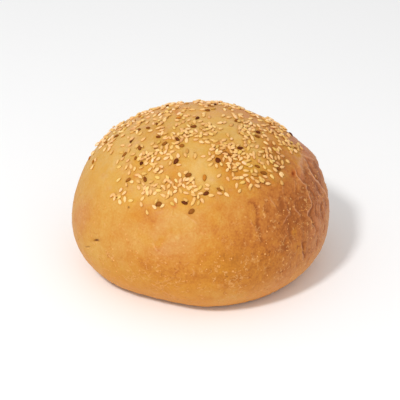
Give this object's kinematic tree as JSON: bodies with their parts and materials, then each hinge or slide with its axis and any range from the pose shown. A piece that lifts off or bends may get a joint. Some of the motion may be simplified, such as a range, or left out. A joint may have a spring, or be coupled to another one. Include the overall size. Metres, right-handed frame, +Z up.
{
  "type": "bread roll",
  "caption": "Round domed bread roll with a flat base, a rounded heel and a golden crust sprinkled with seeds.",
  "frame": {"origin": "under the middle of the roll, on the surface that it rests on", "axes": "+Z up through the dome, +X to the roll's right along its widest line, -Y towards its front"},
  "size_m": [0.1246, 0.1226, 0.0757],
  "materials": {
    "crust": "satin",
    "pale_seed": "satin",
    "dark_seed": "satin"
  },
  "bodies": {
    "root": {"roll": "crust"}
  },
  "joints": []
}
